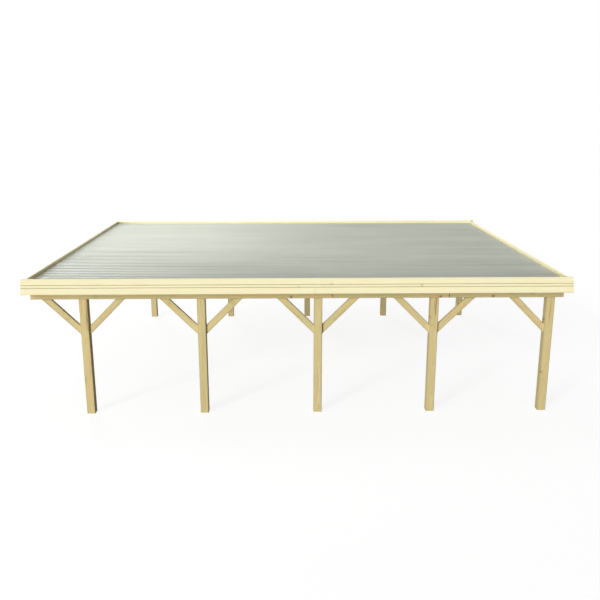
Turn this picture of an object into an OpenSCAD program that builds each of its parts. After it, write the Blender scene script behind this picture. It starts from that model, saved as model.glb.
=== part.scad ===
// Flat-roofed timber carport: two rows of posts with knee braces, spliced beams,
// rafters with raked ends, a raked grooved fascia on all four sides and a profiled sheet roof.
// X runs along the post rows, Y from the front row to the rear row, Z up from the floor.

/* [Posts] */
// Side of each square post
post_w = 140; // [100:5:200]
// Height of the posts, from the floor to the beam
post_h = 2040; // [1800:10:2600]
// Distance between post centres along a row
post_pitch = 1960; // [1600:10:2400]
// Distance between the centre lines of the two rows
row_gap = 6190; // [5600:10:7000]

/* [Beams] */
// Height of the beams that lie on the posts
beam_h = 140; // [100:5:200]
// Length of beam past the centre of the first post
beam_over_left = 860; // [760:10:1200]
// Length of beam past the centre of the last post
beam_over_right = 210; // [150:10:400]
// Distance from a post's centre to the beam joint on its right
joint_past_post = 240; // [150:10:350]
// Width of the open line at a beam joint
joint_gap = 3; // [1:0.5:6]
// Length of the half lap at a beam joint
lap_len = 140; // [100:10:200]

/* [Braces] */
// Width of a knee brace, across its length
brace_w = 110; // [80:5:140]
// Thickness of a knee brace
brace_t = 60; // [40:5:90]
// Longest reach of a knee brace, along the beam and down the post
brace_leg = 630; // [450:10:680]

/* [Rafters] */
// Width of a rafter
rafter_w = 60; // [45:5:80]
// Height of a rafter
rafter_h = 160; // [120:5:220]
// Length of a rafter's underside past the centre line of a row
rafter_over = 260; // [200:10:400]

/* [Fascia] */
// Lean of the fascia boards, foot outwards, in degrees
rake = 17; // [8:1:22]
// Width of a fascia board, along its lean
fascia_w = 262; // [235:1:320]
// Thickness of a fascia board
fascia_t = 24; // [18:1:40]
// Drop of the fascia below the rafters' underside
fascia_drop = 15; // [0:1:40]
// Width of a groove in the fascia's face
groove_w = 12; // [5:0.5:16]
// Depth of a groove in the fascia's face
groove_d = 7; // [2:0.5:9]

/* [Cleats] */
// Length of a wedge cleat along the rafter
cleat_len = 60; // [40:5:120]
// Thickness of a wedge cleat at its top
cleat_top = 4; // [3:0.5:12]
// Distance between wedge cleats
cleat_pitch = 950; // [700:10:1000]

/* [Roof] */
// Height of a roof sheet's ribs
rib_h = 20; // [14:1:30]
// Thickness of a roof sheet
sheet_t = 2; // [1.5:0.5:3]
// Clearance between the roof sheets and the fascia
roof_clear = 12; // [5:1:30]

/* [Edges] */
// Bevel along the long edges of the timbers
ease = 6; // [2:0.5:8]

/* [Hidden] */
post_count = 5;
beam_count = 3;
rafter_count = 15;
cleat_count = 6;
sheet_count = 6;

// Beams: one long length, then one length past each of the last two posts
first_joint_post = 3;
beam_len = beam_over_left + (post_count - 1) * post_pitch + beam_over_right;
beam_x0 = -beam_len / 2;
beam_z = post_h;

// Places of the posts
function post_x(i) = beam_x0 + beam_over_left + (i - 1) * post_pitch;
front_y = -row_gap / 2;
rear_y = row_gap / 2;

// Places of the beam joints, with both ends of the row counted as joints 0 and beam_count
function joint_x(k) =
    k == 0 ? beam_x0
    : k == beam_count ? -beam_x0
    : post_x(first_joint_post + k - 1) + joint_past_post;

// Braces lean at half a right angle and are cut level at the beam and upright at the post
brace_angle = 45;

// Rafters: the first ends flush with the beam, one ends flush with the first joint,
// and the last ends flush with the beam's other end
rafter_z = beam_z + beam_h;
wide_bays = 6;
flush_rafter = wide_bays + 2;
narrow_bay_share = 0.145;
flush_x = joint_x(1) - rafter_w;
narrow_pitch = (-beam_x0 - joint_x(1)) * narrow_bay_share;
wide_pitch = (flush_x - narrow_pitch - beam_x0) / wide_bays;
function rafter_x(i) =
    i < flush_rafter ? beam_x0 + (i - 1) * wide_pitch
    : i < rafter_count ? flush_x + (i - flush_rafter) * narrow_pitch
    : -beam_x0 - rafter_w;

// Raked planes: how far the foot of the lean runs out over a height
function run(height) = height * tan(rake);
rafter_foot_y = row_gap / 2 + rafter_over;
cleat_foot = cleat_top + run(rafter_h);
fascia_foot_y = rafter_foot_y + run(fascia_drop);
fascia_foot_x = -beam_x0 + cleat_foot + run(fascia_drop);
fascia_z = rafter_z - fascia_drop;
fascia_len = 2 * (fascia_foot_x + fascia_t * cos(rake));

// Two grooves in each face, as shares of the board's width from its foot;
// the inner face has the same pair at a share of the depth
groove_shares = [0.415, 0.587];
groove_floor_share = 0.5;
inner_groove_share = 0.6;

// Roof sheets: ribs along X, each sheet's last rib lapping the first rib of the next
ribs_per_sheet = 8;
crown_share = 0.26;
foot_share = 0.52;
lap_flank_share = 0.7;
lap_clear = 0.3;
lap_rise = sheet_t + lap_clear;
roof_z = rafter_z + rafter_h;
roof_stack = rib_h + lap_rise + sheet_t;
roof_half_y = rafter_foot_y - run(rafter_h + roof_stack) - roof_clear;
roof_half_x = -beam_x0 + cleat_top - run(roof_stack) - roof_clear;
sheet_cover = 2 * roof_half_y / sheet_count;
rib_pitch = sheet_cover / ribs_per_sheet;
crown_w = rib_pitch * crown_share;
foot_w = rib_pitch * foot_share;
flank_w = (foot_w - crown_w) / 2;

// Where a sheet's free edge ends on the flank of a rib: out from the crown, and up from the foot
edge_out = crown_w / 2 + flank_w * lap_flank_share;
edge_up = rib_h * (1 - lap_flank_share);

// How far cutting shapes run past what they cut
overrun = 50;

// Colours as the photograph shows them
pine = [0.80, 0.74, 0.53];
pine_light = [0.96, 0.92, 0.73];
sheet_grey = [0.78, 0.79, 0.77];

// Numbered names of a row of nodes
function numbered(name, count) = [for (i = [1 : count]) str(name, "_", i)];

// Rectangle with beveled corners, its lower left corner at the origin
module eased_rect(w, h) {
    polygon([
        [ease, 0], [w - ease, 0], [w, ease], [w, h - ease],
        [w - ease, h], [ease, h], [0, h - ease], [0, ease]
    ]);
}

// Bar along X from the origin, with an eased section
module bar_x(length, w, h) {
    rotate([90, 0, 90])
        linear_extrude(height = length)
            eased_rect(w, h);
}

// Bar along Y from the origin, with an eased section
module bar_y(length, w, h) {
    translate([0, length, 0])
        rotate([90, 0, 0])
            linear_extrude(height = length)
                eased_rect(w, h);
}

// Outline drawn in X and Z, carried along Y from y0
module along_y(y0, length) {
    translate([0, y0 + length, 0])
        rotate([90, 0, 0])
            linear_extrude(height = length)
                children();
}

// Outline drawn in Y and Z, carried along X from x0
module along_x(x0, length) {
    translate([x0, 0, 0])
        rotate([90, 0, 90])
            linear_extrude(height = length)
                children();
}

// One post, standing on the floor
module post(i, y) {
    color(pine)
        translate([post_x(i) - post_w / 2, y - post_w / 2, 0])
            linear_extrude(height = post_h)
                eased_rect(post_w, post_w);
}

// Half of a beam's width from x0 to x1, cut away at a joint: the outer half or the inner one
module lap_cut(x0, x1, outer) {
    translate([x0, outer ? 0 : -post_w, -overrun])
        cube([x1 - x0, post_w, beam_h + 2 * overrun]);
}

// One length of beam, as wide as the posts. At a joint its outer half ends and its inner half
// runs on as a lap behind the next length
module beam(k, side) {
    start = joint_x(k - 1) + (k == 1 ? 0 : joint_gap / 2);
    end = joint_x(k) + (k == beam_count ? 0 : lap_len - joint_gap / 2);
    color(pine)
        translate([0, side * row_gap / 2, beam_z])
            mirror([0, side < 0 ? 1 : 0, 0])
                difference() {
                    translate([start, -post_w / 2, 0])
                        bar_x(end - start, post_w, beam_h);
                    if (k > 1)
                        lap_cut(start - overrun, start + lap_len, false);
                    if (k < beam_count)
                        lap_cut(joint_x(k) - joint_gap / 2, end + overrun, true);
                }
}

// The brace to the right of a post, from the corner of post and beam: a leaning bar,
// cut upright at the post and level at the beam
module brace() {
    intersection() {
        translate([0, -brace_t / 2, -brace_leg])
            rotate([0, -brace_angle, 0])
                translate([-brace_leg, 0, 0])
                    bar_x(3 * brace_leg, brace_t, brace_w);
        translate([0, -brace_t, -2 * brace_leg])
            cube([2 * brace_leg, 2 * brace_t, 2 * brace_leg]);
    }
}

// The braces of one post: one each side, and only the inner one at the last post
module braces(i, y) {
    color(pine)
        translate([post_x(i), y, beam_z]) {
            mirror([1, 0, 0])
                translate([post_w / 2, 0, 0])
                    brace();
            if (i < post_count)
                translate([post_w / 2, 0, 0])
                    brace();
        }
}

// Space between the inner planes of the front and rear fascia, which lean towards each other
module between_fascias(x0, length) {
    low = fascia_z - overrun;
    high = rafter_z + fascia_w + overrun;
    along_x(x0, length)
        polygon([
            [-rafter_foot_y - run(rafter_z - low), low],
            [rafter_foot_y + run(rafter_z - low), low],
            [rafter_foot_y - run(high - rafter_z), high],
            [run(high - rafter_z) - rafter_foot_y, high]
        ]);
}

// One rafter, its ends cut to the lean of the fascia
module rafter(i) {
    color(pine)
        intersection() {
            translate([rafter_x(i), -rafter_foot_y - overrun, rafter_z])
                bar_y(2 * (rafter_foot_y + overrun), rafter_w, rafter_h);
            between_fascias(rafter_x(i) - overrun, rafter_w + 2 * overrun);
        }
}

// Point of a fascia's section: p.x outwards from its inner face, p.y up from its foot
function leaned(p) = [
    p.x * cos(rake) - p.y * sin(rake),
    p.x * sin(rake) + p.y * cos(rake)
];

// Points of one groove, upwards along a face: side is the face and floor the groove's bottom
function groove(share, side, floor) = let (
    mid = share * fascia_w,
    half = groove_w / 2,
    flat = half * groove_floor_share
) [
    [side, mid - half],
    [floor, mid - flat],
    [floor, mid + flat],
    [side, mid + half]
];

// Section of a fascia board, with a pair of grooves in both faces, drawn from its inner foot
module fascia_section() {
    outer = [for (s = groove_shares) each groove(s, fascia_t, fascia_t - groove_d)];
    inner = [for (s = groove_shares) each groove(s, 0, groove_d * inner_groove_share)];
    down = [for (k = [len(inner) - 1 : -1 : 0]) inner[k]];
    outline = concat(
        [[0, ease], [ease, 0], [fascia_t - ease, 0], [fascia_t, ease]], outer,
        [[fascia_t, fascia_w - ease], [fascia_t - ease, fascia_w]],
        [[ease, fascia_w], [0, fascia_w - ease]], down
    );
    polygon([for (p = outline) leaned(p)]);
}

// Fascia across the rafter ends, running through with square ends
module end_fascia(side) {
    color(pine_light)
        mirror([0, side < 0 ? 1 : 0, 0])
            along_x(-fascia_len / 2, fascia_len)
                translate([fascia_foot_y, fascia_z])
                    fascia_section();
}

// Fascia along an outer rafter, fitted between the front and rear fascia
module side_fascia(side) {
    color(pine_light)
        mirror([side < 0 ? 1 : 0, 0, 0])
            intersection() {
                along_y(-fascia_foot_y - overrun, 2 * (fascia_foot_y + overrun))
                    translate([fascia_foot_x, fascia_z])
                        fascia_section();
                between_fascias(0, fascia_len);
            }
}

// Wedges that carry a side fascia at its lean on the upright face of the outer rafter
module cleats(side) {
    first_y = -(cleat_count - 1) * cleat_pitch / 2;
    color(pine)
        mirror([side < 0 ? 1 : 0, 0, 0])
            for (k = [0 : cleat_count - 1])
                along_y(first_y + k * cleat_pitch - cleat_len / 2, cleat_len)
                    translate([-beam_x0, rafter_z])
                        polygon([
                            [0, 0], [cleat_foot, 0],
                            [cleat_top, rafter_h], [0, rafter_h]
                        ]);
}

// Underside points of one rib, whose middle is at y
function rib(y) = [
    [y - foot_w / 2, 0],
    [y - crown_w / 2, rib_h],
    [y + crown_w / 2, rib_h],
    [y + foot_w / 2, 0]
];

// Underside points of the first rib of a sheet that the sheet before it laps
function lapped_rib(y) = [
    [y - edge_out, edge_up],
    [y - crown_w / 2, rib_h],
    [y + crown_w / 2, rib_h],
    [y + foot_w / 2, 0]
];

// Underside points of a lapping rib, raised to sit on the rib below it
function lapping_rib(y) = let (reach = flank_w * lap_rise / rib_h) [
    [y - foot_w / 2 - reach, 0],
    [y - crown_w / 2, rib_h + lap_rise],
    [y + crown_w / 2, rib_h + lap_rise],
    [y + edge_out, edge_up + lap_rise]
];

// One roof sheet, lying on the rafters
module roof_sheet(i) {
    y0 = -roof_half_y + (i - 1) * sheet_cover;
    first_y = y0 + rib_pitch / 2;
    under = concat(
        i == 1 ? concat([[y0, 0]], rib(first_y)) : lapped_rib(first_y),
        [for (k = [1 : ribs_per_sheet - 1]) each rib(first_y + k * rib_pitch)],
        i == sheet_count ? [[y0 + sheet_cover, 0]] : lapping_rib(first_y + sheet_cover)
    );
    over = [for (k = [len(under) - 1 : -1 : 0]) under[k] + [0, sheet_t]];
    color(sheet_grey)
        along_x(-roof_half_x, 2 * roof_half_x)
            translate([0, roof_z])
                polygon(concat(under, over));
}

for (i = [1 : post_count]) {
    post(i, front_y);
    post(i, rear_y);
    braces(i, front_y);
    braces(i, rear_y);
}
for (k = [1 : beam_count]) {
    beam(k, -1);
    beam(k, 1);
}
for (i = [1 : rafter_count])
    rafter(i);
end_fascia(-1);  // front_fascia
end_fascia(1);  // rear_fascia
side_fascia(-1);  // left_fascia
side_fascia(1);  // right_fascia
cleats(-1);  // left_cleats
cleats(1);  // right_cleats
for (i = [1 : sheet_count])
    roof_sheet(i);
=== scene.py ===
"""Looks of a flat-roofed timber carport: treated pine, coated roof sheets, screws, light and camera."""

from __future__ import annotations

import logging
import math
import random
from dataclasses import dataclass
from enum import Enum
from typing import Any
from typing import Iterable
from typing import Mapping
from typing import Sequence

import bpy
from mathutils import Color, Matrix
from mathutils import Vector


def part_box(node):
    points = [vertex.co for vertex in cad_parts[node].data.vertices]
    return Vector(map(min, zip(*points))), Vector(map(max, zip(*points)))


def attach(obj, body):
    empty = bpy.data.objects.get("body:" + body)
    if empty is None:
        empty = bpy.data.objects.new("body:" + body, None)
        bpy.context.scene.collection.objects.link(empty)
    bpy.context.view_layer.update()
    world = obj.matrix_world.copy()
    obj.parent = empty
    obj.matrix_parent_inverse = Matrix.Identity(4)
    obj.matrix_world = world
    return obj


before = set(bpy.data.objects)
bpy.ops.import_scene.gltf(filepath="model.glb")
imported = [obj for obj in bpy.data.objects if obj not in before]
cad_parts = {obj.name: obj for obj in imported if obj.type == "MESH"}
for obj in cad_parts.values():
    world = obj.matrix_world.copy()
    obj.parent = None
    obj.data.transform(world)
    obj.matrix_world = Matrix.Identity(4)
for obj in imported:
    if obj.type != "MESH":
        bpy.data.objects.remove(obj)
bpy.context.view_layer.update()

LOG = logging.getLogger("carport")
BODY = "root"
Colour = tuple[float, float, float]
Range = tuple[float, float]
WHITE: Colour = (1.0, 1.0, 1.0)
UP = Vector((0.0, 0.0, 1.0))
# How far a step of 1 along a knee brace goes, sideways and upwards.
DIAGONAL = math.sqrt(0.5)
# The vertex attribute that tells the node group which way a screw head faces.
FACING = "facing"


def numbered(name: str, count: int) -> list[str]:
    """Give the names of a row of CAD nodes, counted from 1."""
    return [f"{name}_{index}" for index in range(1, count + 1)]


def linear(red: int, green: int, blue: int) -> Colour:
    """Turn a colour as a screen shows it, from 0 to 255, into the linear values that shaders use."""
    return tuple(Color((red / 255, green / 255, blue / 255)).from_srgb_to_scene_linear())


def scaled(colour: Colour, factor: float) -> Colour:
    """Give a colour made lighter or darker by a factor."""
    return colour[0] * factor, colour[1] * factor, colour[2] * factor


def middle(name: str) -> Vector:
    """Give the middle of a CAD node's box."""
    low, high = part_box(name)
    return (low + high) / 2


def half_size(name: str) -> Vector:
    """Give half the size of a CAD node's box."""
    low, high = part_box(name)
    return (high - low) / 2


def dress(name: str, material: bpy.types.Material) -> None:
    """Give a CAD node a finish.

    Args:
        name: The node's name.
        material: The finish.
    """
    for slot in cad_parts[name].material_slots:
        slot.material = material
    LOG.info("%s dressed in %s", name, material.name)


class Val:
    """A node's socket that takes part in Python expressions on plain values."""

    def __init__(self, nodes: Nodes, socket: bpy.types.NodeSocket) -> None:
        """Keep the socket and the tree that it belongs to."""
        self.nodes = nodes
        self.socket = socket

    def also(self, out: str | int) -> Val:
        """Give another output of the same node."""
        return Val(self.nodes, self.socket.node.outputs[out])

    def math(self, operation: str, *terms: Term) -> Val:
        """Add a Math node that takes these terms in order."""
        return self.nodes.node("ShaderNodeMath", {"operation": operation}, dict(enumerate(terms)))

    def __add__(self, other: Term) -> Val:
        """Add."""
        return self.math("ADD", self, other)

    def __radd__(self, other: Term) -> Val:
        """Add to a number."""
        return self.math("ADD", other, self)

    def __sub__(self, other: Term) -> Val:
        """Take away."""
        return self.math("SUBTRACT", self, other)

    def __rsub__(self, other: Term) -> Val:
        """Take away from a number."""
        return self.math("SUBTRACT", other, self)

    def __mul__(self, other: Term) -> Val:
        """Multiply."""
        return self.math("MULTIPLY", self, other)

    def __rmul__(self, other: Term) -> Val:
        """Multiply a number."""
        return self.math("MULTIPLY", other, self)

    def __truediv__(self, other: Term) -> Val:
        """Divide."""
        return self.math("DIVIDE", self, other)

    def __rtruediv__(self, other: Term) -> Val:
        """Divide a number."""
        return self.math("DIVIDE", other, self)

    def __abs__(self) -> Val:
        """Take the size without the sign."""
        return self.math("ABSOLUTE", self)

    def root(self) -> Val:
        """Take the square root."""
        return self.math("SQRT", self)

    def fraction(self) -> Val:
        """Keep what follows the whole number."""
        return self.math("FRACT", self)

    def least(self, other: Term) -> Val:
        """Take the smaller of two values."""
        return self.math("MINIMUM", self, other)

    def most(self, other: Term) -> Val:
        """Take the larger of two values."""
        return self.math("MAXIMUM", self, other)

    def rise(self, low: float, high: float) -> Val:
        """Rise smoothly from 0 at one value to 1 at another.

        Args:
            low: Where the rise starts.
            high: Where the rise ends.

        Returns:
            The smooth rise.
        """
        settings = {"interpolation_type": "SMOOTHSTEP"}
        inputs = {"Value": self, "From Min": low, "From Max": high}
        return self.nodes.node("ShaderNodeMapRange", settings, inputs)

    def fall(self, low: float, high: float) -> Val:
        """Fall smoothly from 1 at one value to 0 at another."""
        return 1 - self.rise(low, high)


Term = Val | float


class Nodes:
    """A node tree of any sort, built from expressions."""

    def __init__(self, tree: bpy.types.NodeTree) -> None:
        """Start from an empty tree."""
        self.tree = tree
        self.tree.nodes.clear()

    def node(
        self,
        kind: str,
        settings: Mapping[str, Any],
        inputs: Mapping[str | int, Any],
        out: str | int = 0,
    ) -> Val:
        """Add a node, set it up and join its sockets.

        Args:
            kind: The node's type.
            settings: The node's own settings, set first.
            inputs: Values or links for its sockets, by name or place.
            out: The output to hand on, by name or place.

        Returns:
            The output, ready for expressions.
        """
        made = self.tree.nodes.new(kind)
        for key, value in settings.items():
            setattr(made, key, value)
        for key, value in inputs.items():
            socket = made.inputs[key]
            if isinstance(value, Val):
                self.tree.links.new(value.socket, socket)
            elif isinstance(value, tuple) and socket.type == "RGBA":
                socket.default_value = (*value, 1.0)
            else:
                socket.default_value = value
        return Val(self, made.outputs[out])

    def end(self, kind: str, socket: str, result: Val) -> None:
        """Finish the tree.

        Args:
            kind: The type of the output node.
            socket: The name of the output node's socket.
            result: What the socket takes.
        """
        out = self.tree.nodes.new(kind)
        self.tree.links.new(result.socket, out.inputs[socket])


@dataclass(frozen=True)
class CoatMark:
    """A cloudy mark in a coating: how many fit in a metre each way, its noise and how it shows."""

    per_metre: tuple[float, float, float]
    noise: float
    detail: float
    fades: Range = (0.0, 1.0)
    share: float = 1.0


class Shader(Nodes):
    """The node tree of a material or a world."""

    def split(self, vector: Val) -> tuple[Val, Val, Val]:
        """Give the three parts of a vector or a colour, in order."""
        first = self.node("ShaderNodeSeparateXYZ", {}, {"Vector": vector})
        return first, first.also(1), first.also(2)

    def join(self, x: Term, y: Term, z: Term) -> Val:
        """Give the vector that has these parts."""
        return self.node("ShaderNodeCombineXYZ", {}, {"X": x, "Y": y, "Z": z})

    def place(self) -> tuple[Val, Val, Val]:
        """Give the place on the object, in metres along X, Y and Z."""
        return self.split(self.node("ShaderNodeTexCoord", {}, {}, "Object"))

    def facing(self) -> tuple[Val, Val, Val]:
        """Give the direction that the surface faces, along X, Y and Z."""
        return self.split(self.node("ShaderNodeNewGeometry", {}, {}, "Normal"))

    def noise(self, vector: Val, seed: float, detail: float = 1.0, out: str = "Fac") -> Val:
        """Add a noise texture over a vector that is already to scale.

        Args:
            vector: Where the noise is read.
            seed: Which of the many noises it is.
            detail: How many finer layers it has.
            out: Fac for one value, Color for three.

        Returns:
            The noise.
        """
        inputs = {"Vector": vector, "W": seed, "Scale": 1.0, "Detail": detail}
        return self.node("ShaderNodeTexNoise", {"noise_dimensions": "4D"}, inputs, out)

    def marks(self, mark: CoatMark, seed: float = 0.0) -> Val:
        """Give the noise of one sort of mark all over the object.

        Args:
            mark: The sort of mark.
            seed: What sets this object's noises apart from the others'.

        Returns:
            The noise, before it fades in or out.
        """
        counts = [distance * rate for distance, rate in zip(self.place(), mark.per_metre)]
        return self.noise(self.join(*counts), seed + mark.noise, mark.detail)

    def mix(self, share: Term, first: Val | Colour, second: Val | Colour) -> Val:
        """Blend two colours, with a share of the second."""
        inputs = {0: share, 6: first, 7: second}
        return self.node("ShaderNodeMix", {"data_type": "RGBA"}, inputs, 2)

    def layered(self, base: Colour, layers: Iterable[tuple[Term, Colour]]) -> Val:
        """Lay colours over each other.

        Args:
            base: The colour underneath.
            layers: How much of each further colour shows, and the colour, from the lowest up.

        Returns:
            The colour of them all.
        """
        blend: Val | Colour = base
        for share, colour in layers:
            blend = self.mix(share, blend, colour)
        return blend

    def bump(self, height: Val, distance: float, strength: float) -> Val:
        """Turn a height into a bumped normal.

        Args:
            height: The height, as a share of the distance.
            distance: How far a height of 1 stands out, in metres.
            strength: How strongly the bump shows.

        Returns:
            The normal.
        """
        inputs = {"Height": height, "Distance": distance, "Strength": strength}
        return self.node("ShaderNodeBump", {}, inputs)

    def seen(self) -> Val:
        """Give 1 for rays that show a thing to the eye: straight, in a gloss or through glass."""
        path = self.node("ShaderNodeLightPath", {}, {}, "Is Camera Ray")
        return path.most(path.also("Is Glossy Ray")).most(path.also("Is Transmission Ray"))


class Paint(Shader):
    """The node tree of one material."""

    def __init__(self, name: str) -> None:
        """Start an empty material.

        Args:
            name: The material's name.
        """
        self.material = bpy.data.materials.new(name)
        self.material.use_nodes = True
        super().__init__(self.material.node_tree)

    def surface(self, inputs: Mapping[str, Any]) -> bpy.types.Material:
        """Finish the material with a principled surface that has these values or links."""
        return self.shown(self.node("ShaderNodeBsdfPrincipled", {}, inputs))

    def shown(self, surface: Val) -> bpy.types.Material:
        """Finish the material with any surface."""
        self.end("ShaderNodeOutputMaterial", "Surface", surface)
        return self.material


class Grain(Enum):
    """Which way the fibres of a timber run."""

    ALONG_X = "along_x"
    ALONG_Y = "along_y"
    UPRIGHT = "upright"
    LEANING = "leaning"


class Cut(Enum):
    """Where the heart of the tree lies in a timber's section."""

    HEART = "heart"
    SIDE = "side"


@dataclass(frozen=True)
class PineTone:
    """Colours of one sort of treated pine."""

    early: Colour
    late: Colour
    warm: Colour
    cool: Colour
    edge: Colour
    knot: Colour
    end: Colour
    check: Colour


@dataclass(frozen=True)
class GrainMark:
    """A cloudy mark in wood: its size along and across the grain, its noise and how it shows."""

    length: float
    width: float
    noise: float
    fades: Range = (0.0, 1.0)
    share: float = 1.0
    detail: float = 2.0


@dataclass(frozen=True)
class RoundMark:
    """A mark round the heart: its length along the grain, its turns, its noise and where it fades."""

    length: float
    turns: float
    noise: float
    fades: Range


@dataclass(frozen=True)
class PineLook:
    """The marks of the wood: sizes in metres, how strongly each shows, and where each fades."""

    shades: Range = (0.96, 1.03)
    dark_late: float = 0.88
    sway: float = 0.045
    sway_rate: float = 0.8

    ring: float = 0.0055
    ring_share: float = 0.55
    ring_rises: Range = (0.35, 0.86)
    ring_falls: Range = (0.90, 1.0)
    ring_height: float = 0.25
    ripple: GrainMark = GrainMark(0.30, 0.05, 3.1)
    ripple_push: float = 0.010

    fibre: GrainMark = GrainMark(0.35, 0.005, 11.7, (0.30, 0.62), 0.26)
    fibre_height: float = 0.45
    fibre_roughness: float = 0.16
    warm: GrainMark = GrainMark(0.80, 0.15, 23.9, (0.42, 0.64), 0.70)
    cool: GrainMark = GrainMark(0.60, 0.12, 37.3, (0.46, 0.66), 0.65)
    streak: GrainMark = GrainMark(1.60, 0.022, 31.3, (0.52, 0.74), 0.40)

    knot_length: float = 0.135
    knot_turns: float = 0.57
    knot_rarity: float = 0.80
    knot_doubt: float = 0.03
    knot_least: float = 0.55
    knot_spread: float = 0.75
    knot_share: float = 0.85
    knot_falls: Range = (0.115, 0.135)
    knot_height: float = 0.3
    knot_polish: float = 0.10
    knot_push: float = 0.012
    rim_rises: Range = (0.085, 0.115)
    rim_shade: float = 0.55
    halo_share: float = 0.42
    halo_falls: Range = (0.12, 0.46)

    check: RoundMark = RoundMark(4.5, 1.7, 47.7, (0.004, 0.017))
    check_patch: RoundMark = RoundMark(0.6, 0.9, 53.1, (0.57, 0.64))
    check_share: float = 0.60
    check_depth: float = 1.4

    edge_share: float = 0.55
    edge_rises: Range = (0.66, 1.0)
    end_share: float = 0.70
    end_rises: Range = (0.75, 0.85)
    # How the grooves are darkened with dirt and painted shade.
    groove_share: float = 0.85
    groove_shade: float = 0.46
    groove_sides: Range = (0.4, 0.6)
    groove_mouth: Range = (0.70, 0.96)
    # How the joints are darkened with dirt and painted shade.
    joint_share: float = 0.80
    joint_shade: float = 0.25
    joint_falls: Range = (0.004, 0.008)
    joint_middle: Range = (-0.001, 0.001)

    bump_depth: float = 0.0016
    bump_share: float = 0.55
    roughness: float = 0.62
    gloss: float = 0.32


@dataclass(frozen=True)
class Groove:
    """A groove along a board: its middle, from the board's own middle, and its width."""

    across: float
    width: float


@dataclass(frozen=True)
class JointLine:
    """A joint across a timber: its place along the grain, and on which half of the width it lies."""

    along: float
    side: int


FRAME_TONE = PineTone(
    early=linear(220, 204, 150),
    late=linear(192, 168, 110),
    warm=linear(219, 190, 134),
    cool=linear(202, 194, 136),
    edge=linear(178, 166, 118),
    knot=linear(118, 82, 46),
    end=linear(168, 152, 104),
    check=linear(70, 52, 32),
)
FASCIA_TONE = PineTone(
    early=linear(249, 242, 201),
    late=linear(240, 227, 178),
    warm=linear(250, 237, 194),
    cool=linear(245, 241, 196),
    edge=linear(224, 215, 174),
    knot=linear(172, 132, 84),
    end=linear(200, 186, 138),
    check=linear(120, 96, 62),
)
FRAME_LOOK = PineLook()
FASCIA_LOOK = PineLook(
    ring=0.0068,
    ring_share=0.50,
    knot_turns=1.05,
    knot_rarity=0.92,
    knot_share=0.40,
    halo_share=0.30,
    edge_share=0.12,
    check_share=0.0,
)


@dataclass(frozen=True)
class TreatedPine:
    """Planed, pressure-treated pine, cut from a tree whose rings and knots show on every face.

    The middle and half the section come from the node's box where they aren't given.
    """

    node: str
    grain: Grain
    cut: Cut
    seed: int
    tone: PineTone = FRAME_TONE
    look: PineLook = FRAME_LOOK
    centre: Vector | None = None
    half: tuple[float, float] | None = None
    lean: float = 0.0
    grooves: tuple[Groove, ...] = ()
    joints: tuple[JointLine, ...] = ()
    heart_reach: float = 0.022
    heart_shares: Range = (0.3, 1.0)
    side_reach: float = 0.085
    side_shares: Range = (0.7, 1.2)
    side_across: Range = (-0.4, 0.4)
    shade_seed: int = 1000

    def section(self) -> tuple[float, float]:
        """Find half the timber's size across its face and through it.

        Returns:
            The two sizes, in metres.
        """
        if self.half is not None:
            return self.half
        size = half_size(self.node)
        if self.grain is Grain.UPRIGHT:
            return size.x, size.y
        return size.z, size.y if self.grain is Grain.ALONG_X else size.x

    def heart(self) -> tuple[float, float]:
        """Pick where the heart lies from the middle of the section.

        Returns:
            The distances across the section and through it, in metres.
        """
        pick = random.Random(self.seed)
        if self.cut is Cut.HEART:
            turn = pick.uniform(0, 2 * math.pi)
            reach = self.heart_reach * pick.uniform(*self.heart_shares)
            return reach * math.cos(turn), reach * math.sin(turn)
        side = pick.choice((-1, 1))
        across = self.section()[0] * pick.uniform(*self.side_across)
        return across, side * self.side_reach * pick.uniform(*self.side_shares)

    def shade(self) -> float:
        """Pick how light this timber is among the others."""
        return random.Random(self.seed + self.shade_seed).uniform(*self.look.shades)

    def dress(self) -> None:
        """Build the wood and give it to its CAD node."""
        dress(self.node, PineWood(self).finish())


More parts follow.
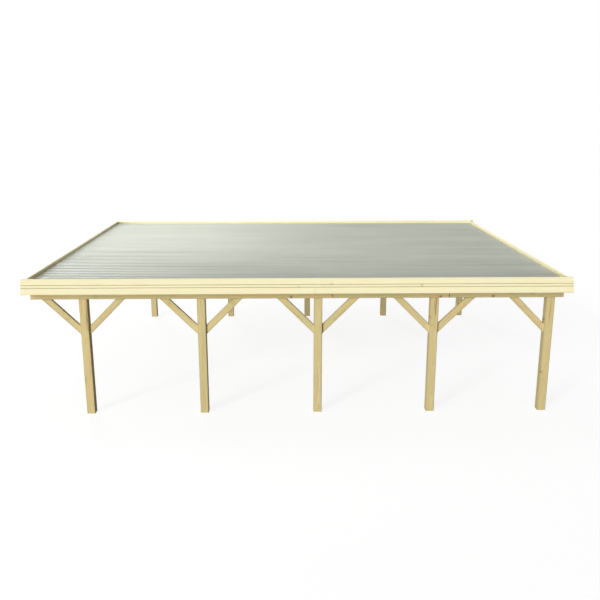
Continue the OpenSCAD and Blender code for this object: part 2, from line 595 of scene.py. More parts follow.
class PineWood(Paint):
    """The wood of one timber, drawn by a point's place in the timber and in the tree it came from."""

    # Sets the noises of one timber apart from the next one's.
    SEED_STEP = 7.31
    # Keeps the distance from the heart above zero.
    HEART_CORE = 1e-6

    def __init__(self, pine: TreatedPine) -> None:
        """Start the material and find a point's place in the timber and round the wandering heart.

        Args:
            pine: The timber.
        """
        super().__init__(f"pine_{pine.node}")
        self.pine = pine
        self.look = pine.look
        self.seed = pine.seed * self.SEED_STEP
        self.along, self.across, self.through = self.local()
        drift = self.noise(self.join(self.along * self.look.sway_rate, 0.0, 0.0), self.seed, out="Color")
        drift_a, drift_b, _ = self.split(drift)
        heart_a, heart_b = pine.heart()
        from_a = self.across - heart_a + (drift_a - 0.5) * self.look.sway
        from_b = self.through - heart_b + (drift_b - 0.5) * self.look.sway
        self.radius = (from_a * from_a + from_b * from_b + self.HEART_CORE).root()
        self.out_a = from_a / self.radius
        self.out_b = from_b / self.radius

    def local(self) -> tuple[Val, Val, Val]:
        """Find a point's place from the timber's middle.

        Returns:
            The distances along the grain, across the face and through it, in metres.
        """
        pine = self.pine
        centre = middle(pine.node) if pine.centre is None else pine.centre
        x, y, z = (distance - start for distance, start in zip(self.place(), centre))
        if pine.grain is Grain.ALONG_X:
            return x, z, y + z * pine.lean
        if pine.grain is Grain.ALONG_Y:
            return y, z, x + z * pine.lean
        if pine.grain is Grain.UPRIGHT:
            return z, x, y
        out = abs(x)
        return (out + z) * DIAGONAL, (out - z) * DIAGONAL, y

    def round_heart(self, along: Val, turns: float) -> Val:
        """Give a place along the grain and in turns round the heart."""
        return self.join(along, self.out_a * turns, self.out_b * turns)

    def clouds(self, mark: GrainMark) -> Val:
        """Give the noise of one sort of mark, drawn out along the grain."""
        place = self.join(self.along / mark.length, self.across / mark.width, self.through / mark.width)
        return self.noise(place, self.seed + mark.noise, mark.detail)

    def rounds(self, mark: RoundMark) -> Val:
        """Give the noise of one sort of mark that lies round the heart."""
        place = self.round_heart(self.along / mark.length, mark.turns)
        return self.noise(place, self.seed + mark.noise, 0.0)

    def knots(self) -> tuple[Val, Val, Val]:
        """Grow knots outwards from the heart.

        Returns:
            The knots, their dark rims and the bent grain round them.
        """
        look = self.look
        place = self.round_heart(self.along / look.knot_length + self.seed, look.knot_turns)
        cell = self.node("ShaderNodeTexVoronoi", {}, {"Vector": place, "Scale": 1.0})
        chance, size, _ = self.split(cell.also("Color"))
        chosen = chance.rise(look.knot_rarity, look.knot_rarity + look.knot_doubt)
        reach = cell / (look.knot_least + size * look.knot_spread)
        knot = reach.fall(*look.knot_falls) * chosen
        rim = reach.rise(*look.rim_rises) * knot
        halo = reach.fall(*look.halo_falls) * chosen
        return knot, rim, halo

    def late_wood(self, halo: Val) -> Val:
        """Draw the year rings.

        Args:
            halo: The bent grain round the knots.

        Returns:
            The share of late, darker wood.
        """
        look = self.look
        ripple = self.clouds(look.ripple) - 0.5
        radius = self.radius + halo * halo * look.knot_push + ripple * look.ripple_push
        year = (radius / look.ring).fraction()
        return year.rise(*look.ring_rises) * year.fall(*look.ring_falls)

    def checks(self) -> Val:
        """Open drying checks along the grain, in patches.

        Returns:
            The share of open checks.
        """
        line, patch = self.look.check, self.look.check_patch
        open_line = abs(self.rounds(line) - 0.5).fall(*line.fades)
        return open_line * self.rounds(patch).rise(*patch.fades)

    def darker_edges(self) -> Val:
        """Give 1 along the timber's long edges and 0 on its faces."""
        across, through = self.pine.section()
        return (abs(self.across) / across).least(abs(self.through) / through).rise(*self.look.edge_rises)

    def end_grain(self) -> Val:
        """Give 1 where the surface is a square-cut end and 0 along the timber."""
        axis = (Grain.ALONG_X, Grain.ALONG_Y, Grain.UPRIGHT).index(self.pine.grain)
        return abs(self.facing()[axis]).rise(*self.look.end_rises)

    def groove_dust_and_shade(self) -> Term:
        """Gather dirt and painted shade in the board's grooves, darker as if the recess lay in shadow.

        Returns:
            1 inside the grooves and 0 on the faces.
        """
        near, far = self.look.groove_sides
        recess = (abs(self.through) / self.pine.section()[1]).fall(*self.look.groove_mouth)
        darkening: Term = 0.0
        for groove in self.pine.grooves:
            offset = abs(self.across - groove.across)
            darkening = darkening + offset.fall(groove.width * near, groove.width * far) * recess
        return darkening

    def joint_dust_and_shade(self) -> Term:
        """Gather dirt and painted shade along the edges of the timber's joints, as if the gap shadowed
        them.

        Returns:
            1 along the joints and 0 elsewhere.
        """
        darkening: Term = 0.0
        for joint in self.pine.joints:
            near = abs(self.along - joint.along).fall(*self.look.joint_falls)
            darkening = darkening + near * (self.through * joint.side).rise(*self.look.joint_middle)
        return darkening

    def finish(self) -> bpy.types.Material:
        """Build the wood.

        Returns:
            The material of this one timber.
        """
        look, tone, shade = self.look, self.pine.tone, self.pine.shade()
        late_tone = scaled(tone.late, shade)
        dark_tone = scaled(tone.late, shade * look.dark_late)
        knot, rim, halo = self.knots()
        late = self.late_wood(halo)
        fibre = self.clouds(look.fibre)
        check = self.checks()

        layers: list[tuple[Term, Colour]] = [(late * look.ring_share, late_tone)]
        for mark, colour in (
            (look.warm, scaled(tone.warm, shade)),
            (look.cool, scaled(tone.cool, shade)),
            (look.streak, late_tone),
        ):
            layers.append((self.clouds(mark).rise(*mark.fades) * mark.share, colour))
        layers.append((fibre.fall(*look.fibre.fades) * look.fibre.share, dark_tone))
        layers.append((halo * look.halo_share, dark_tone))
        layers.append((knot * look.knot_share, tone.knot))
        layers.append((rim * look.knot_share, scaled(tone.knot, look.rim_shade)))
        # The long edges are darker.
        layers.append((self.darker_edges() * look.edge_share, tone.edge))
        if self.pine.grain is not Grain.LEANING:
            layers.append((self.end_grain() * look.end_share, tone.end))
        # Painted shade in the grooves, together with the dirt there.
        if self.pine.grooves:
            layers.append((self.groove_dust_and_shade() * look.groove_share, scaled(tone.edge, look.groove_shade)))
        # Painted shade along the joints, together with the dirt there.
        if self.pine.joints:
            layers.append((self.joint_dust_and_shade() * look.joint_share, scaled(tone.edge, look.joint_shade)))
        if look.check_share > 0:
            layers.append((check * look.check_share, tone.check))

        raised = late * look.ring_height + fibre * look.fibre_height + knot * look.knot_height
        return self.surface(
            {
                "Base Color": self.layered(scaled(tone.early, shade), layers),
                "Roughness": look.roughness + fibre * look.fibre_roughness - knot * look.knot_polish,
                "Specular IOR Level": look.gloss,
                "Normal": self.bump(raised - check * look.check_depth, look.bump_depth, look.bump_share),
            }
        )


@dataclass(frozen=True)
class CoatedSheet:
    """Grey coated sheet metal, with rain streaks along its ribs and a paler back."""

    node: str
    seed: float
    face: Colour = linear(185, 189, 177)
    chalk: Colour = linear(199, 202, 191)
    soil: Colour = linear(163, 166, 154)
    back: Colour = linear(200, 201, 194)
    cloud: CoatMark = CoatMark((0.35, 0.9, 1.0), 0.0, 3.0, (0.36, 0.66), 0.6)
    streak: CoatMark = CoatMark((0.22, 16.0, 1.0), 5.3, 2.0, (0.50, 0.72), 0.5)
    speck: CoatMark = CoatMark((55.0, 55.0, 55.0), 9.1, 2.0, (0.60, 0.74), 0.18)
    dent: CoatMark = CoatMark((2.4, 5.0, 1.0), 12.7, 1.0)
    back_falls: Range = (-0.6, -0.2)
    dent_height: float = 0.9
    speck_height: float = 0.1
    bump_depth: float = 0.004
    bump_share: float = 0.35
    roughness: float = 0.40
    cloud_roughness: float = 0.14
    speck_roughness: float = 0.06
    gloss: float = 0.45

    def dress(self) -> None:
        """Build the coating and give it to its CAD node."""
        paint = Paint(f"coat_{self.node}")
        _, _, up = paint.facing()
        cloud = paint.marks(self.cloud, self.seed)
        streak = paint.marks(self.streak, self.seed)
        speck = paint.marks(self.speck, self.seed)
        dent = paint.marks(self.dent, self.seed)
        layers = [
            (cloud.rise(*self.cloud.fades) * self.cloud.share, self.chalk),
            (streak.rise(*self.streak.fades) * self.streak.share, self.soil),
            (speck.rise(*self.speck.fades) * self.speck.share, self.soil),
            (up.fall(*self.back_falls), self.back),
        ]
        height = dent * self.dent_height + speck * self.speck_height
        rough = self.roughness + cloud * self.cloud_roughness + speck * self.speck_roughness
        coat = paint.surface(
            {
                "Base Color": paint.layered(self.face, layers),
                "Roughness": rough,
                "Specular IOR Level": self.gloss,
                "Normal": paint.bump(height, self.bump_depth, self.bump_share),
            }
        )
        dress(self.node, coat)


@dataclass(frozen=True)
class ScrewMetal:
    """Plated or painted screw steel, duller in patches."""

    name: str
    plate: Colour
    dull: Colour
    metallic: float = 0.85
    patch: CoatMark = CoatMark((140.0, 140.0, 140.0), 2.5, 2.0, (0.42, 0.62))
    roughness: float = 0.34
    patch_roughness: float = 0.22

    def material(self) -> bpy.types.Material:
        """Build the plating.

        Returns:
            The material of a set of screws.
        """
        paint = Paint(self.name)
        patch = paint.marks(self.patch)
        return paint.surface(
            {
                "Base Color": paint.mix(patch.rise(*self.patch.fades), self.plate, self.dull),
                "Metallic": self.metallic,
                "Roughness": self.roughness + patch * self.patch_roughness,
            }
        )


ROOF_SCREW_METAL = ScrewMetal("roof_screw_metal", linear(196, 199, 196), linear(158, 162, 160))
TIMBER_SCREW_METAL = ScrewMetal("timber_screw_metal", linear(206, 194, 148), linear(164, 152, 112))
FASCIA_SCREW_PAINT = ScrewMetal("fascia_screw_paint", linear(242, 233, 194), linear(230, 219, 178), 0.0)


@dataclass(frozen=True)
class ScrewHead:
    """Sizes of a screw head: a rim, a crown on it, a six-sided head or a socket sunk in the crown."""

    rim: float
    rim_height: float
    crown_share: float
    hex_radius: float = 0.0
    hex_height: float = 0.0
    socket_share: float = 1.0
    socket_depth: float = 0.0
    rim_sides: int = 10
    hex_sides: int = 6

    def inputs(self) -> dict[str, float]:
        """Give the sizes under the names of the node group's inputs."""
        return {
            "Rim": self.rim,
            "Rim Height": self.rim_height,
            "Crown Share": self.crown_share,
            "Hex Radius": self.hex_radius,
            "Hex Height": self.hex_height,
            "Socket Share": self.socket_share,
            "Socket Depth": -self.socket_depth,
        }


ROOF_HEAD = ScrewHead(
    rim=0.0095,
    rim_height=0.0022,
    crown_share=0.72,
    hex_radius=0.0048,
    hex_height=0.0053,
)
TIMBER_HEAD = ScrewHead(
    rim=0.0060,
    rim_height=0.0010,
    crown_share=0.84,
    socket_share=0.45,
    socket_depth=0.0009,
)


class HeadNodes(Nodes):
    """The node group that sets a screw head on every point."""

    # Corners of a head that lie closer than this become one, in metres.
    WELD = 0.00002

    def __init__(self, name: str, head: ScrewHead) -> None:
        """Build the group, with an input for each size of the head.

        Args:
            name: The group's name.
            head: The head's sizes.
        """
        super().__init__(bpy.data.node_groups.new(name, "GeometryNodeTree"))
        socket = self.tree.interface.new_socket
        socket("Points", in_out="INPUT", socket_type="NodeSocketGeometry")
        for size in head.inputs():
            socket(size, in_out="INPUT", socket_type="NodeSocketFloat")
        socket("Metal", in_out="INPUT", socket_type="NodeSocketMaterial")
        socket("Screws", in_out="OUTPUT", socket_type="NodeSocketGeometry")
        self.given = self.node("NodeGroupInput", {}, {}).also
        self.spread(self.six_sided(head) if head.hex_height > 0 else self.sunk(head))

    def disc(self, sides: int, radius: str) -> Val:
        """Start a head from a flat disc of a named radius."""
        inputs = {"Vertices": sides, "Radius": self.given(radius)}
        return self.node("GeometryNodeMeshCircle", {"fill_type": "NGON"}, inputs)

    def raised(self, mesh: Val, height: Term, top: Val | bool = True) -> tuple[Val, Val]:
        """Push a face out, or in.

        Args:
            mesh: The mesh.
            height: How far the face moves.
            top: Which face moves. At first there is only one.

        Returns:
            The mesh and the face that moved.
        """
        inputs = {"Mesh": mesh, "Selection": top, "Offset Scale": height}
        pushed = self.node("GeometryNodeExtrudeMesh", {}, inputs)
        return pushed, pushed.also("Top")

    def narrowed(self, mesh: Val, top: Val, share: str) -> Val:
        """Draw a face in to a named share of its width."""
        inputs = {"Geometry": mesh, "Selection": top, "Scale": self.given(share)}
        return self.node("GeometryNodeScaleElements", {}, inputs)

    def lifted(self, mesh: Val, height: str) -> Val:
        """Move a mesh up by a named height."""
        way = self.node("ShaderNodeCombineXYZ", {}, {"Z": self.given(height)})
        return self.node("GeometryNodeTransform", {}, {"Geometry": mesh, "Translation": way})

    def joined(self, parts: Iterable[Val]) -> Val:
        """Join meshes into one.

        Args:
            parts: The meshes.

        Returns:
            The whole.
        """
        whole = self.node("GeometryNodeJoinGeometry", {}, {})
        for part in parts:
            self.tree.links.new(part.socket, whole.socket.node.inputs["Geometry"])
        return whole

    def closed(self, mesh: Val, foot: Val) -> Val:
        """Close a head underneath with the disc that it started from, turned over.

        Args:
            mesh: The open head.
            foot: The disc.

        Returns:
            The closed head.
        """
        turned = self.node("GeometryNodeFlipFaces", {}, {"Mesh": foot})
        inputs = {"Geometry": self.joined((mesh, turned)), "Distance": self.WELD}
        return self.node("GeometryNodeMergeByDistance", {}, inputs)

    def crowned(self, head: ScrewHead) -> tuple[Val, Val, Val]:
        """Raise the rim and draw in its crown.

        Args:
            head: The head's sizes.

        Returns:
            The foot, the open head and its top face.
        """
        foot = self.disc(head.rim_sides, "Rim")
        rim, top = self.raised(foot, self.given("Rim Height"))
        return foot, self.narrowed(rim, top, "Crown Share"), top

    def six_sided(self, head: ScrewHead) -> Val:
        """Stand a six-sided head on a washer.

        Args:
            head: The head's sizes.

        Returns:
            The closed head.
        """
        foot, crown, _ = self.crowned(head)
        hex_foot = self.lifted(self.disc(head.hex_sides, "Hex Radius"), "Rim Height")
        hex_head, _ = self.raised(hex_foot, self.given("Hex Height"))
        return self.joined((self.closed(crown, foot), self.closed(hex_head, hex_foot)))

    def sunk(self, head: ScrewHead) -> Val:
        """Sink a socket into a low head.

        Args:
            head: The head's sizes.

        Returns:
            The closed head.
        """
        foot, crown, top = self.crowned(head)
        inset, floor = self.raised(crown, 0.0, top)
        inset = self.narrowed(inset, floor, "Socket Share")
        socket, _ = self.raised(inset, self.given("Socket Depth"), floor)
        return self.closed(socket, foot)

    def spread(self, head: Val) -> None:
        """Set the head on every point, turned as the point says, and give it its metal.

        Args:
            head: The closed head.
        """
        named = {"data_type": "FLOAT_VECTOR"}
        facing = self.node("GeometryNodeInputNamedAttribute", named, {"Name": FACING}, "Attribute")
        turn = self.node("FunctionNodeAlignRotationToVector", {"axis": "Z"}, {"Vector": facing})
        inputs = {"Points": self.given("Points"), "Instance": head, "Rotation": turn}
        heads = self.node("GeometryNodeInstanceOnPoints", {}, inputs)
        real = self.node("GeometryNodeRealizeInstances", {}, {"Geometry": heads})
        inputs = {"Geometry": real, "Material": self.given("Metal")}
        self.end("NodeGroupOutput", "Screws", self.node("GeometryNodeSetMaterial", {}, inputs))


@dataclass(frozen=True)
class ScrewPoint:
    """Where one screw sits and which way its head faces."""

    place: Vector
    facing: Vector


@dataclass
class ScrewSet:
    """A set of like screws, put in place by Geometry Nodes."""

    name: str
    head: ScrewHead
    metal: ScrewMetal
    slot: str
    points: Sequence[ScrewPoint]

    def build(self) -> None:
        """Make the screws as one plain mesh that rides on the frame."""
        mesh = bpy.data.meshes.new(f"{self.name}_points")
        mesh.from_pydata([point.place for point in self.points], [], [])
        facing = mesh.attributes.new(FACING, "FLOAT_VECTOR", "POINT")
        for index, point in enumerate(self.points):
            facing.data[index].vector = point.facing
        seed = bpy.data.objects.new(f"{self.name}_seed", mesh)
        bpy.context.scene.collection.objects.link(seed)
        group = HeadNodes(f"{self.name}_tree", self.head).tree
        modifier = seed.modifiers.new("heads", "NODES")
        modifier.node_group = group
        values = {**self.head.inputs(), "Metal": self.metal.material()}
        for item in group.interface.items_tree:
            if item.in_out == "INPUT" and item.name in values:
                modifier[item.identifier] = values[item.name]
        depsgraph = bpy.context.evaluated_depsgraph_get()
        plain = bpy.data.meshes.new_from_object(seed.evaluated_get(depsgraph))
        seed.modifiers.remove(modifier)
        bpy.data.objects.remove(seed)
        plain.name = self.name
        piece = bpy.data.objects.new(self.name, plain)
        bpy.context.scene.collection.objects.link(piece)
        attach(piece, BODY)
        LOG.info("%s: %d screws, %d faces", self.name, len(self.points), len(plain.polygons))


@dataclass
class PostRows:
    """The two rows of square posts."""

    rows: tuple[str, str] = ("front_post", "rear_post")
    count: int = 5
    first_seed: int = 100

    def dress(self) -> None:
        """Give every post its own upright timber with the heart inside."""
        names = [name for row in self.rows for name in numbered(row, self.count)]
        for index, name in enumerate(names):
            TreatedPine(name, Grain.UPRIGHT, Cut.HEART, self.first_seed + index).dress()


@dataclass
class BeamRows:
    """The beams that lie on the posts, each row in three lengths with half laps between them.

    Each row has its nodes' name and the direction of its outer face.
    """

    rows: tuple[tuple[str, int], ...] = (("front_beam", -1), ("rear_beam", 1))
    count: int = 3
    first_seed: int = 200
    joint_gap: float = 0.003
    screw_from_end: float = 0.035
    screw_from_edge: float = 0.040

    def laps(self, row: str) -> list[tuple[str, str]]:
        """Give the beams on the left and the right of each lap in a row."""
        names = numbered(row, self.count)
        return list(zip(names, names[1:]))

    def joints(self, name: str, row: str, sign: int) -> tuple[JointLine, ...]:
        """Find where the joints of a row cross one of its beams.

        Args:
            name: The beam.
            row: The row's name.
            sign: The direction of the row's outer face.

        Returns:
            The joint lines on the outer and the inner half of the row, from the beam's middle.
        """
        lines = []
        for left, right in self.laps(row):
            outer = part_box(right)[0].x - self.joint_gap / 2
            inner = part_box(left)[1].x + self.joint_gap / 2
            if name in (left, right):
                lines.append(JointLine(outer - middle(name).x, sign))
                lines.append(JointLine(inner - middle(name).x, -sign))
        return tuple(lines)

    def dress(self) -> None:
        """Give every length of beam its own timber with the heart inside."""
        seed = self.first_seed
        for row, sign in self.rows:
            for name in numbered(row, self.count):
                joints = self.joints(name, row, sign)
                TreatedPine(name, Grain.ALONG_X, Cut.HEART, seed, joints=joints).dress()
                seed += 1

    def screws(self) -> list[ScrewPoint]:
        """Place four screws on the outer face of each half lap.

        Returns:
            The screws of all laps.
        """
        points = []
        for row, sign in self.rows:
            for left, right in self.laps(row):
                lap_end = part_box(left)[1].x
                low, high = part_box(right)
                face = low.y if sign < 0 else high.y
                for x in (low.x + self.screw_from_end, lap_end - self.screw_from_end):
                    for z in (low.z + self.screw_from_edge, high.z - self.screw_from_edge):
                        points.append(ScrewPoint(Vector((x, face, z)), Vector((0.0, sign, 0.0))))
        return points


@dataclass
class KneeBraces:
    """The knee braces, at half a right angle between posts and beams."""

    rows: tuple[str, str] = ("front", "rear")
    count: int = 5
    width: float = 0.11
    first_seed: int = 300
    screw_from_end: float = 0.10
    screw_spread: float = 0.014

    def pairs(self) -> list[tuple[str, str]]:
        """Give the node of each post's braces and the node of the post."""
        places = [(row, number) for row in self.rows for number in range(1, self.count + 1)]
        return [(f"{row}_braces_{number}", f"{row}_post_{number}") for row, number in places]

    def dress(self) -> None:
        """Give the braces of every post a timber whose grain follows their lean."""
        for index, (name, post) in enumerate(self.pairs()):
            low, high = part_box(name)
            crossing = middle(post)
            crossing.z = low.z + self.width * DIAGONAL - half_size(post).x
            TreatedPine(
                name,
                Grain.LEANING,
                Cut.SIDE,
                self.first_seed + index,
                centre=crossing,
                half=(self.width / 2, (high.y - low.y) / 2),
            ).dress()

    def screws(self) -> list[ScrewPoint]:
        """Place two screws near each end of a brace, through its lower edge.

        Returns:
            The screws of all braces.
        """
        points = []
        for name, post in self.pairs():
            low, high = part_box(name)
            post_low, post_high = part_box(post)
            leg = high.z - low.z
            feet = {-1: post_low.x, 1: post_high.x}
            sides = [side for side in feet if side < 0 or high.x > post_high.x]
            for side in sides:
                facing = Vector((side * DIAGONAL, 0.0, -DIAGONAL))
                for along in (self.screw_from_end, leg - self.screw_from_end):
                    for spread in (-self.screw_spread, self.screw_spread):
                        x = feet[side] + side * along
                        place = Vector((x, middle(post).y + spread, low.z + along))
                        points.append(ScrewPoint(place, facing))
        return points


@dataclass
class RafterSet:
    """The rafters that lie across both beams."""

    count: int = 15
    first_seed: int = 400
    beams: tuple[str, str] = ("front_beam_1", "rear_beam_1")
    screw_height: float = 0.045
    screw_spread: float = 0.030

    def names(self) -> list[str]:
        """Give the rafters' node names."""
        return numbered("rafter", self.count)

    def dress(self) -> None:
        """Give every rafter its own timber, sawn from beside the heart."""
        for index, name in enumerate(self.names()):
            TreatedPine(name, Grain.ALONG_Y, Cut.SIDE, self.first_seed + index).dress()

    def screws(self) -> list[ScrewPoint]:
        """Place a screw on each side of a rafter, over both beams.

        Returns:
            The screws of all rafters.
        """
        points = []
        for name in self.names():
            low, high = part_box(name)
            for beam in self.beams:
                for x, sign in ((low.x, -1), (high.x, 1)):
                    y = middle(beam).y + sign * self.screw_spread
                    place = Vector((x, y, low.z + self.screw_height))
                    points.append(ScrewPoint(place, Vector((sign, 0.0, 0.0))))
        return points


class Side(Enum):
    """The sides of the roof, as node names start, with the axis across the board and its direction."""

    FRONT = ("front", 1, -1)
    REAR = ("rear", 1, 1)
    LEFT = ("left", 0, -1)
    RIGHT = ("right", 0, 1)

    def __init__(self, word: str, axis: int, sign: int) -> None:
        """Keep what a side holds, by name.

        Args:
            word: How the names of the side's nodes start.
            axis: The axis across the board, 0 for X and 1 for Y.
            sign: The direction along that axis.
        """
        self.word = word
        self.axis = axis
        self.sign = sign


@dataclass
class FasciaBoards:
    """The leaning boards round the roof and the wedges that carry the side ones."""

    lean_degrees: float = 17.0
    width: float = 0.262
    thickness: float = 0.024
    groove_width: float = 0.012
    groove_shares: tuple[float, float] = (0.415, 0.587)
    screw_shares: tuple[float, float] = (0.16, 0.86)
    cleat_count: int = 6
    cleat_pitch: float = 0.95
    first_seed: int = 500

    def __post_init__(self) -> None:
        """Work out how far a board runs up and back for each metre of its width."""
        angle = math.radians(self.lean_degrees)
        self.up = math.cos(angle)
        self.back = math.sin(angle)

    def dress(self) -> None:
        """Give every board its own pale timber, and the wedges a plain one."""
        grooves = tuple(
            Groove((share - 0.5) * self.width * self.up, self.groove_width * self.up)
            for share in self.groove_shares
        )
        for index, side in enumerate(Side):
            name = f"{side.word}_fascia"
            TreatedPine(
                name,
                Grain.ALONG_X if side.axis == 1 else Grain.ALONG_Y,
                Cut.SIDE,
                self.first_seed + index,
                tone=FASCIA_TONE,
                look=FASCIA_LOOK,
                half=(half_size(name).z, self.thickness / self.up / 2),
                lean=side.sign * self.back / self.up,
                grooves=grooves,
            ).dress()
        for index, side in enumerate((Side.LEFT, Side.RIGHT), len(Side)):
            TreatedPine(f"{side.word}_cleats", Grain.UPRIGHT, Cut.SIDE, self.first_seed + index).dress()

    def on_face(self, side: Side, along: float, share: float) -> ScrewPoint:
        """Find a point on the outer face of a board.

        Args:
            side: The board's side of the roof.
            along: The place along the board.
            share: The share of the board's width, up from its foot.

        Returns:
            The point and the direction that the face looks.
        """
        low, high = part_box(f"{side.word}_fascia")
        inner_top = low[side.axis] if side.sign > 0 else high[side.axis]
        down = self.width * (1 - share)
        # The axis along the board keeps its place, and the one across it gets the face's.
        place = Vector((along, along, high.z - down * self.up))
        place[side.axis] = inner_top + side.sign * (self.thickness * self.up + down * self.back)
        facing = Vector((0.0, 0.0, self.back))
        facing[side.axis] = side.sign * self.up
        return ScrewPoint(place, facing)

    def screws(self, rafters: Sequence[str]) -> list[ScrewPoint]:
        """Place screws on the boards' outer faces, at every rafter end and wedge.

        Args:
            rafters: The rafters' node names.

        Returns:
            The screws of all four boards.
        """
        rafter_places = [middle(rafter).x for rafter in rafters]
        middle_cleat = (self.cleat_count - 1) / 2
        cleat_places = [(number - middle_cleat) * self.cleat_pitch for number in range(self.cleat_count)]
        points = []
        for side in Side:
            places = rafter_places if side.axis == 1 else cleat_places
            for along in places:
                points.extend(self.on_face(side, along, share) for share in self.screw_shares)
        return points


@dataclass
class RoofSheets:
    """The lapped roof sheets and the screws that hold them."""

    count: int = 6
    ribs_per_sheet: int = 8
    screw_every_ribs: int = 2
    sheet_thickness: float = 0.002
    lap_screw_pitch: float = 0.50
    first_seed: float = 61.0
    seed_step: float = 3.7

    def names(self) -> list[str]:
        """Give the sheets' node names."""
        return numbered("roof_sheet", self.count)

    def dress(self) -> None:
        """Give every sheet its own coating."""
        for index, name in enumerate(self.names()):
            CoatedSheet(name, self.first_seed + index * self.seed_step).dress()

    def screws(self, rafters: Sequence[str]) -> list[ScrewPoint]:
        """Place screws in every second valley at each rafter, and along the laps.

        Args:
            rafters: The rafters' node names.

        Returns:
            The screws of the whole roof.
        """
        first_low, first_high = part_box(self.names()[0])
        last_low, last_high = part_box(self.names()[-1])
        ribs = self.count * self.ribs_per_sheet
        pitch = (last_high.y - first_low.y) / ribs
        valley = last_low.z + self.sheet_thickness
        points = []
        for rafter in rafters:
            x = middle(rafter).x
            for rib in range(1, ribs, self.screw_every_ribs):
                points.append(ScrewPoint(Vector((x, first_low.y + rib * pitch, valley)), UP))
        length = first_high.x - first_low.x
        steps = int(length / self.lap_screw_pitch)
        margin = (length - (steps - 1) * self.lap_screw_pitch) / 2
        for sheet in range(1, self.count):
            # A lap's crown is half a rib past the sheet's edge.
            y = first_low.y + (sheet * self.ribs_per_sheet + 0.5) * pitch
            for step in range(steps):
                x = first_low.x + margin + step * self.lap_screw_pitch
                points.append(ScrewPoint(Vector((x, y, first_high.z)), UP))
        return points


@dataclass(frozen=True)
class SunLamp:
    """A far lamp, named by where its light comes from."""

    name: str
    strength: float
    spread_degrees: float
    source: tuple[float, float, float]

    def build(self) -> None:
        """Hang the lamp."""
        lamp = bpy.data.lights.new(self.name, "SUN")
        lamp.energy = self.strength
        lamp.angle = math.radians(self.spread_degrees)
        holder = bpy.data.objects.new(self.name, lamp)
        holder.rotation_euler = (-Vector(self.source)).to_track_quat("-Z", "Y").to_euler()
        bpy.context.scene.collection.objects.link(holder)


@dataclass(frozen=True)
class SoftBox:
    """A large near lamp, which lights one end of the roof more than the other."""

    name: str
    watts: float
    size: float
    place: tuple[float, float, float]
    aim: tuple[float, float, float]

    def build(self) -> None:
        """Hang the lamp and turn it to its aim."""
        lamp = bpy.data.lights.new(self.name, "AREA")
        lamp.energy = self.watts
        lamp.size = self.size
        holder = bpy.data.objects.new(self.name, lamp)
        holder.location = self.place
        towards = Vector(self.aim) - Vector(self.place)
        holder.rotation_euler = towards.to_track_quat("-Z", "Y").to_euler()
        bpy.context.scene.collection.objects.link(holder)


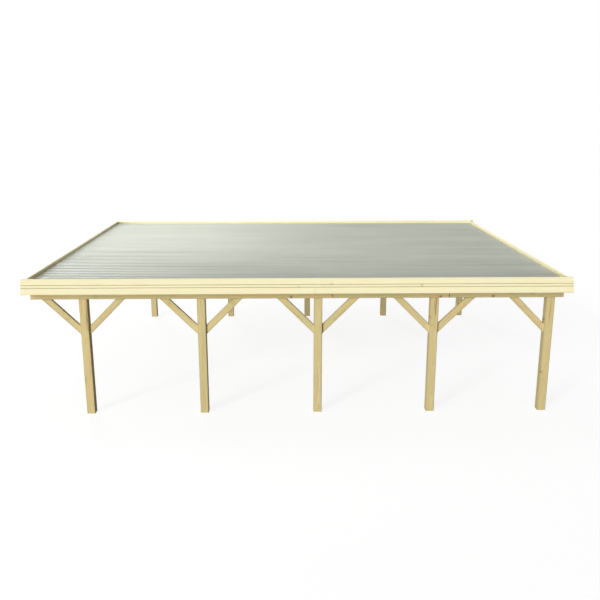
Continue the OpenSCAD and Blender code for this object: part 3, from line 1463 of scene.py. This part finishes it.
@dataclass
class Studio:
    """The pale floor, the soft light and the white surround."""

    floor_reach: float = 120.0
    floor_drop: float = 0.0006
    floor_glow: float = 0.857
    floor_shade: float = 0.26
    floor_bounce: float = 0.27
    fill: float = 0.27
    fill_from_left: float = 0.22
    lamps: tuple[SunLamp | SoftBox, ...] = (
        SunLamp("key_lamp", 1.25, 12.0, (-0.8, -1.0, 0.52)),
        SunLamp("low_lamp", 1.75, 10.0, (-0.5, -1.0, 0.08)),
        SunLamp("back_lamp", 1.10, 20.0, (-0.42, 1.0, 0.34)),
        SoftBox("roof_lamp", 190.0, 4.0, (-3.2, 0.5, 7.4), (-4.4, 0.3, 2.4)),
    )

    def build(self) -> None:
        """Set up the view, the world, the lamps and the floor."""
        bpy.context.scene.view_settings.view_transform = "Standard"
        self.world()
        for lamp in self.lamps:
            lamp.build()
        self.floor()

    def world(self) -> None:
        """Light the scene softly, more from the left, and show plain white behind it."""
        world = bpy.data.worlds.new("white_surround")
        world.use_nodes = True
        shader = Shader(world.node_tree)
        x, _, _ = shader.split(shader.node("ShaderNodeTexCoord", {}, {}, "Generated"))
        strength = self.fill - x * self.fill_from_left
        soft = shader.node("ShaderNodeBackground", {}, {"Color": WHITE, "Strength": strength})
        white = shader.node("ShaderNodeBackground", {}, {"Color": WHITE, "Strength": 1.0})
        both = shader.node("ShaderNodeMixShader", {}, {0: shader.seen(), 1: soft, 2: white})
        shader.end("ShaderNodeOutputWorld", "Surface", both)
        bpy.context.scene.world = world

    def floor(self) -> None:
        """Lay a pale floor that keeps a soft shadow."""
        reach = self.floor_reach
        mesh = bpy.data.meshes.new("studio_floor")
        corners = [(-reach, -reach), (reach, -reach), (reach, reach), (-reach, reach)]
        mesh.from_pydata([(x, y, -self.floor_drop) for x, y in corners], [], [(0, 1, 2, 3)])
        floor = bpy.data.objects.new("studio_floor", mesh)
        bpy.context.scene.collection.objects.link(floor)
        floor.data.materials.append(self.floor_finish())

    def floor_finish(self) -> bpy.types.Material:
        """Build the floor's finish: near white to the eye, duller to the light it throws back.

        Returns:
            The floor's material.
        """
        paint = Paint("studio_floor")
        shaded = paint.node("ShaderNodeBsdfDiffuse", {}, {"Color": scaled(WHITE, self.floor_shade)})
        glow = paint.node("ShaderNodeEmission", {}, {"Strength": self.floor_glow})
        pale = paint.node("ShaderNodeAddShader", {}, {0: shaded, 1: glow})
        dull = paint.node("ShaderNodeBsdfDiffuse", {}, {"Color": scaled(WHITE, self.floor_bounce)})
        return paint.shown(paint.node("ShaderNodeMixShader", {}, {0: paint.seen(), 1: dull, 2: pale}))


@dataclass
class PhotoCamera:
    """The camera, where the photograph was taken from, measured from the middle front post."""

    anchor: str = "front_post_3"
    offset: tuple[float, float, float] = (-0.528, -11.712, 4.998)
    turn_right_degrees: float = 1.094
    look_down_degrees: float = 14.38
    focal_pixels: float = 718.9
    frame_pixels: int = 600
    sensor: float = 36.0
    far_end: float = 400.0

    def build(self) -> None:
        """Set the camera up and make it the scene's own."""
        camera = bpy.data.cameras.new("photo_camera")
        camera.sensor_width = self.sensor
        camera.lens = self.focal_pixels / self.frame_pixels * self.sensor
        camera.clip_end = self.far_end
        holder = bpy.data.objects.new("photo_camera", camera)
        foot = middle(self.anchor)
        foot.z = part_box(self.anchor)[0].z
        holder.location = foot + Vector(self.offset)
        tilt = math.radians(90 - self.look_down_degrees)
        holder.rotation_euler = (tilt, 0.0, math.radians(-self.turn_right_degrees))
        bpy.context.scene.collection.objects.link(holder)
        bpy.context.scene.camera = holder


def main() -> None:
    """Dress the carport, fix its screws, and set up the studio and the camera."""
    logging.basicConfig(level=logging.INFO, format="%(name)s: %(message)s")
    PhotoCamera().build()
    PostRows().dress()
    beams = BeamRows()
    beams.dress()
    braces = KneeBraces()
    braces.dress()
    rafters = RafterSet()
    rafters.dress()
    fascia = FasciaBoards()
    fascia.dress()
    roof = RoofSheets()
    roof.dress()
    roof_points = roof.screws(rafters.names())
    ScrewSet("roof_screws", ROOF_HEAD, ROOF_SCREW_METAL, "roof_sheet", roof_points).build()
    fascia_points = fascia.screws(rafters.names())
    ScrewSet("fascia_screws", TIMBER_HEAD, FASCIA_SCREW_PAINT, "fascia_pine", fascia_points).build()
    frame_points = braces.screws() + rafters.screws() + beams.screws()
    ScrewSet("frame_screws", TIMBER_HEAD, TIMBER_SCREW_METAL, "frame_pine", frame_points).build()
    Studio().build()


if __name__ == "__main__":
    main()
